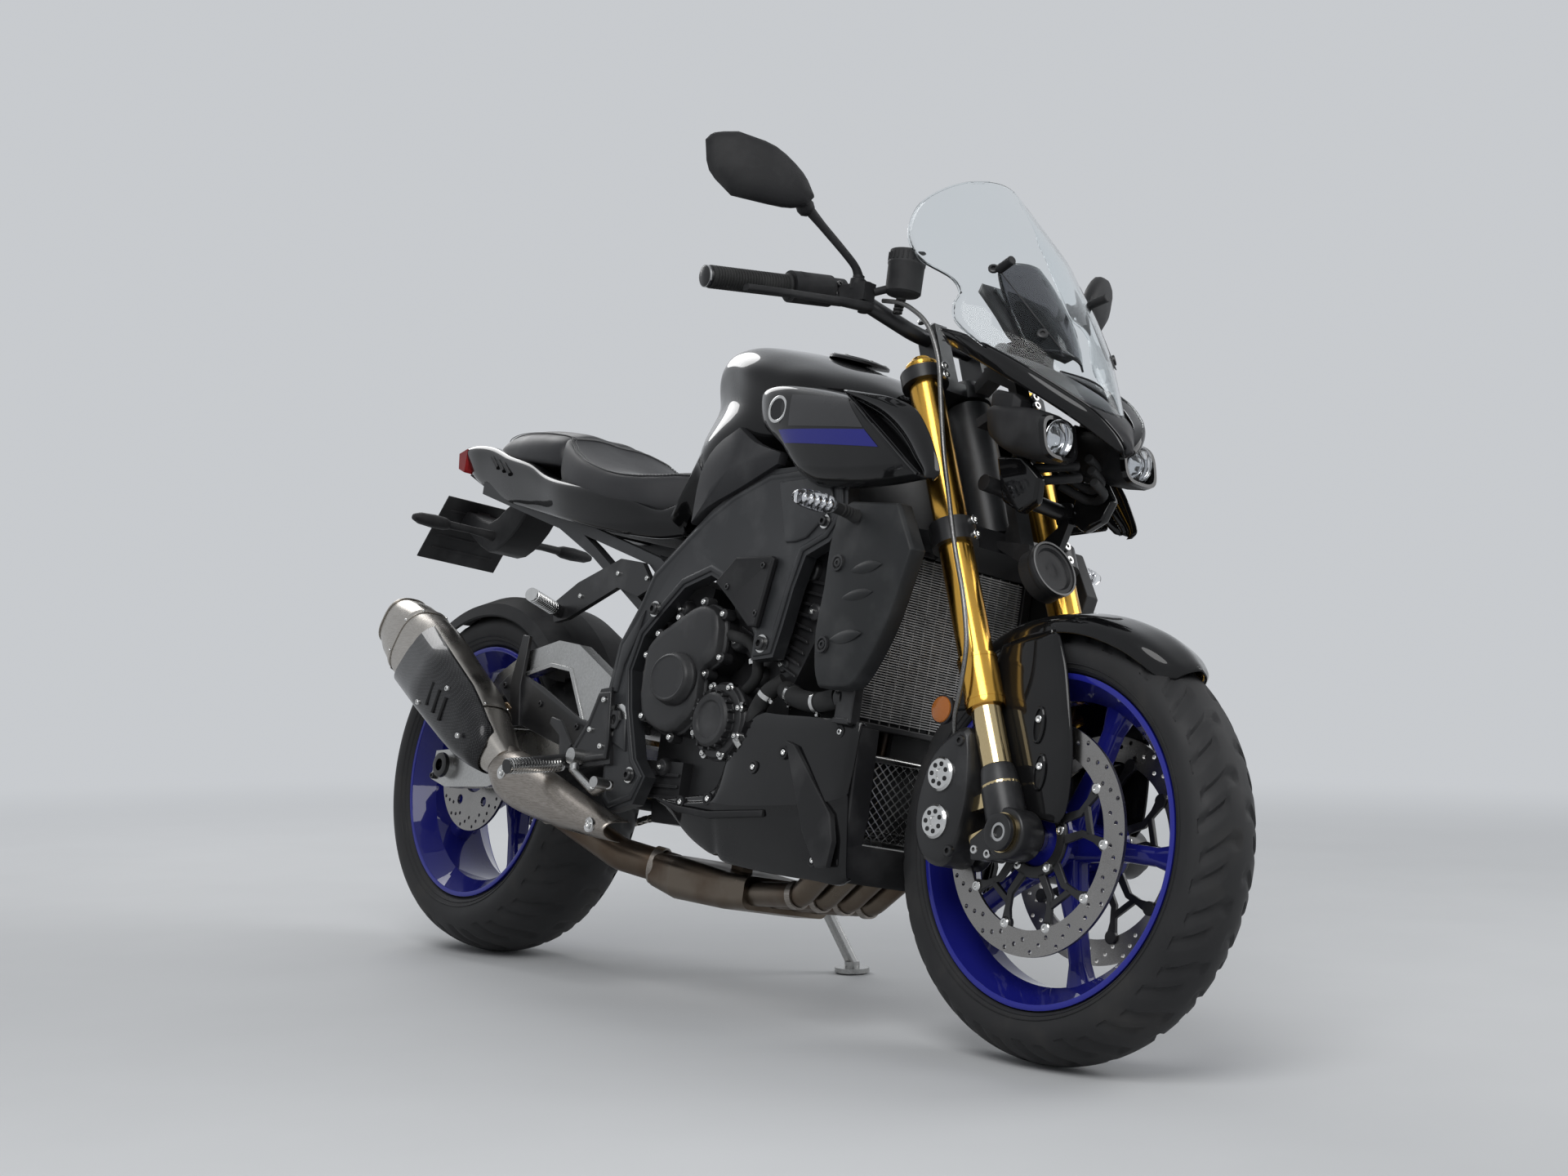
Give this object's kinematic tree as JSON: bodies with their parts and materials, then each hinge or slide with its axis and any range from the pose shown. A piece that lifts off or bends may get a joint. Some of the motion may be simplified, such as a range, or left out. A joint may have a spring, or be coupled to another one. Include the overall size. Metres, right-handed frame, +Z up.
{
  "type": "standard motorcycle",
  "caption": "Sport naked motorcycle with a touring screen, leaning on its side stand with its steering straight.",
  "frame": {"origin": "on the floor under the middle of the bounding box", "axes": "+Y from the front wheel to the rear wheel, +Z up, +X to the rider's left, towards the side stand"},
  "size_m": [0.9134, 2.0425, 1.3339],
  "materials": {
    "gloss_black": "gloss black paint",
    "panel_black": "gloss black with a blue stripe",
    "satin_grey": "satin dark grey",
    "matte_black": "moulded matte black",
    "frame_grey": "satin charcoal coat",
    "engine_grey": "satin dark engine coat",
    "wheel_blue": "deep blue gloss",
    "tyre": "road tyre",
    "fork_gold": "gold anodised",
    "slider_gold": "pale gold",
    "disc_steel": "ground steel",
    "black_metal": "black anodised",
    "steel": "machined",
    "aluminium": "satin alloy",
    "titanium": "brushed titanium",
    "grip_rubber": "rubber",
    "seat_leather": "stitched leather",
    "clear_screen": "clear acrylic",
    "lamp_lens": "lamp lens",
    "red_lens": "red lens"
  },
  "bodies": {
    "chassis": {"belly_pan": "gloss_black", "brake_pedal": "steel", "drive_chain": "steel", "engine_block": "engine_grey", "exhaust_heat_shield": "titanium", "exhaust_pipes": "titanium", "footrest_hangers": "frame_grey", "frame_covers": "satin_grey", "front_indicators": "matte_black", "fuel_tank": "gloss_black", "gear_lever": "steel", "left_engine_cover": "engine_grey", "main_frame": "frame_grey", "muffler": "titanium", "oil_cooler": "aluminium", "passenger_seat": "seat_leather", "pillion_hangers": "frame_grey", "plate_holder": "matte_black", "radiator": "aluminium", "radiator_covers": "matte_black", "rear_axle": "steel", "rear_caliper": "black_metal", "rear_hugger": "matte_black", "rider_seat": "seat_leather", "right_engine_cover": "engine_grey", "shock_absorber": "steel", "subframe": "frame_grey", "swingarm": "aluminium", "tail_cowl": "panel_black", "tail_light": "red_lens", "tank_panels": "panel_black"},
    "steering": {"brake_hose": "grip_rubber", "fork_outer_tubes": "fork_gold", "fork_sliders": "slider_gold", "front_axle": "steel", "front_calipers": "black_metal", "front_fender": "gloss_black", "grips": "grip_rubber", "handlebar": "black_metal", "headlight_stay": "matte_black", "headlights": "lamp_lens", "instrument_panel": "matte_black", "left_hand_controls": "matte_black", "lower_clamp": "frame_grey", "mirrors": "matte_black", "nose_cowl": "gloss_black", "right_hand_controls": "matte_black", "steering_damper": "steel", "upper_clamp": "frame_grey", "windscreen": "clear_screen"},
    "front_wheel": {"front_brake_discs": "disc_steel", "front_disc_carriers": "black_metal", "front_tyre": "tyre", "front_wheel": "wheel_blue"},
    "rear_wheel": {"rear_brake_disc": "disc_steel", "rear_sprocket": "disc_steel", "rear_tyre": "tyre", "rear_wheel": "wheel_blue"},
    "side_stand": {"side_stand": "aluminium"}
  },
  "joints": [
    {"name": "steering", "type": "hinge", "parent": "chassis", "child": "steering", "pos_m": [-0.09807, -0.53853, 0.63179], "axis": [0.1616, 0.4067, 0.8991], "range_deg": [-30, 30]},
    {"name": "front_wheel_spin", "type": "hinge", "parent": "steering", "child": "front_wheel", "pos_m": [-0.15813, -0.72125, 0.29767], "axis": [0.9842, 0, -0.1769], "continuous": true},
    {"name": "rear_wheel_spin", "type": "hinge", "parent": "chassis", "child": "rear_wheel", "pos_m": [-0.15459, 0.68375, 0.31735], "axis": [0.9842, 0, -0.1769], "continuous": true},
    {"name": "side_stand_fold", "type": "hinge", "parent": "chassis", "child": "side_stand", "pos_m": [0.02943, 0.13125, 0.25583], "axis": [0.9114, -0.093, 0.4008], "range_deg": [0, 101]}
  ]
}
